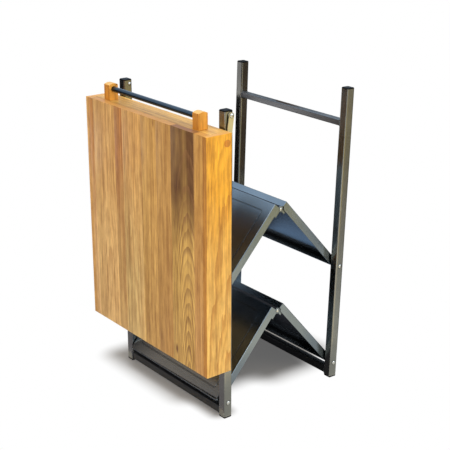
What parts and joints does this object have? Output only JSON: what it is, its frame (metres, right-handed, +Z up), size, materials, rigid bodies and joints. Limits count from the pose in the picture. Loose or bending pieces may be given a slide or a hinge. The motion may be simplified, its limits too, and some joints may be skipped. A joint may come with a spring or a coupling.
{
  "type": "folding utility table",
  "caption": "Folding utility table: two steel side frames, two folding steel shelves and a swing-over wooden top hung on the side.",
  "frame": {"origin": "on the floor, at the middle of the half-folded table's footprint", "axes": "+Z up, +X from the frame that carries the hung top to the other frame, +Y from front to back"},
  "size_m": [0.5056, 0.5286, 0.821],
  "materials": {
    "frame_steel": "square tube, plated dark nickel, bright and slightly grained",
    "shelf_steel": "pressed sheet, glossy dark gunmetal coat",
    "rivet_steel": "bright domed rivets",
    "screw_steel": "zinc-plated wood screws",
    "plate_steel": "zinc-plated sheet",
    "bar_steel": "round tube, glossy blue-black coat",
    "black_plastic": "moulded polyethylene plugs",
    "nylon": "natural nylon",
    "top_wood": "edge-glued hardwood staves under satin lacquer",
    "dark_stave": "dark heartwood stave under satin lacquer",
    "skirt_wood": "golden hardwood under satin lacquer",
    "post_wood": "golden hardwood under satin lacquer",
    "plug_wood": "hardwood, end grain on the plugs"
  },
  "bodies": {
    "left_frame": {"left_front_leg": "frame_steel", "left_back_leg": "frame_steel", "left_top_rail": "frame_steel", "left_bottom_rail": "frame_steel", "left_caps": "black_plastic", "left_feet": "black_plastic", "left_upper_rivets": "rivet_steel", "left_lower_rivets": "rivet_steel", "left_washers": "nylon", "arm_rivets": "rivet_steel", "arm_washers": "nylon"},
    "right_frame": {"right_front_leg": "frame_steel", "right_back_leg": "frame_steel", "right_top_rail": "frame_steel", "right_bottom_rail": "frame_steel", "right_caps": "black_plastic", "right_feet": "black_plastic", "right_upper_rivets": "rivet_steel", "right_lower_rivets": "rivet_steel", "right_washers": "nylon"},
    "upper_left_half": {"upper_left_tray": "shelf_steel"},
    "upper_right_half": {"upper_right_tray": "shelf_steel", "upper_hinge_tabs": "shelf_steel", "upper_hinge_rivets": "rivet_steel"},
    "lower_left_half": {"lower_left_tray": "shelf_steel"},
    "lower_right_half": {"lower_right_tray": "shelf_steel", "lower_hinge_tabs": "shelf_steel", "lower_hinge_rivets": "rivet_steel", "lower_end_studs": "rivet_steel"},
    "swing_arms": {"front_arm": "frame_steel", "back_arm": "frame_steel"},
    "wooden_top": {"pivot_plates": "plate_steel", "pivot_studs": "rivet_steel", "plate_screws": "screw_steel", "front_skirt": "skirt_wood", "back_skirt": "skirt_wood", "towel_end_skirt": "skirt_wood", "far_end_skirt": "skirt_wood", "corner_blocks": "plug_wood", "skirt_screws": "screw_steel", "wood_plugs": "plug_wood", "front_post": "post_wood", "back_post": "post_wood", "post_screws": "screw_steel", "towel_bar": "bar_steel", "stave_1": "top_wood", "stave_2": "dark_stave", "stave_3": "top_wood", "stave_4": "top_wood", "stave_5": "top_wood", "stave_6": "top_wood", "stave_7": "top_wood", "stave_8": "top_wood"}
  },
  "joints": [
    {"name": "shelf_fold", "type": "hinge", "parent": "left_frame", "child": "upper_left_half", "pos_m": [-0.15834, 0, 0.332], "axis": [0, 1, 0], "range_deg": [-37, 48.13]},
    {"name": "upper_middle_hinge", "type": "hinge", "parent": "upper_left_half", "child": "upper_right_half", "pos_m": [0.03329, 0, 0.52784], "axis": [0, 1, 0], "range_deg": [-96.23, 73.97]},
    {"name": "right_frame_hinge", "type": "hinge", "parent": "upper_right_half", "child": "right_frame", "pos_m": [0.22506, 0, 0.33214], "axis": [0, 1, 0], "range_deg": [-35.59, 46.29]},
    {"name": "lower_left_hinge", "type": "hinge", "parent": "left_frame", "child": "lower_left_half", "pos_m": [-0.15834, 0, 0.0445], "axis": [0, 1, 0], "range_deg": [-38.02, 49.46]},
    {"name": "lower_middle_hinge", "type": "hinge", "parent": "lower_left_half", "child": "lower_right_half", "pos_m": [0.0287, 0, 0.24473], "axis": [0, 1, 0], "range_deg": [-98.84, 75.98]},
    {"name": "top_swing", "type": "hinge", "parent": "left_frame", "child": "swing_arms", "pos_m": [-0.15384, 0, 0.808], "axis": [0, 1, 0], "range_deg": [0, 266.5]},
    {"name": "top_turn", "type": "hinge", "parent": "swing_arms", "child": "wooden_top", "pos_m": [-0.19634, 0, 0.5044], "axis": [0, 1, 0], "range_deg": [-176.5, 0]}
  ],
  "couplings": [
    {"joint": "upper_middle_hinge", "follows": "shelf_fold", "ratio": -1.9992},
    {"joint": "right_frame_hinge", "follows": "shelf_fold", "ratio": 0.96176},
    {"joint": "lower_left_hinge", "follows": "shelf_fold", "ratio": 1.0276},
    {"joint": "lower_middle_hinge", "follows": "shelf_fold", "ratio": -2.0535},
    {"joint": "top_turn", "follows": "top_swing", "ratio": -0.66229}
  ]
}
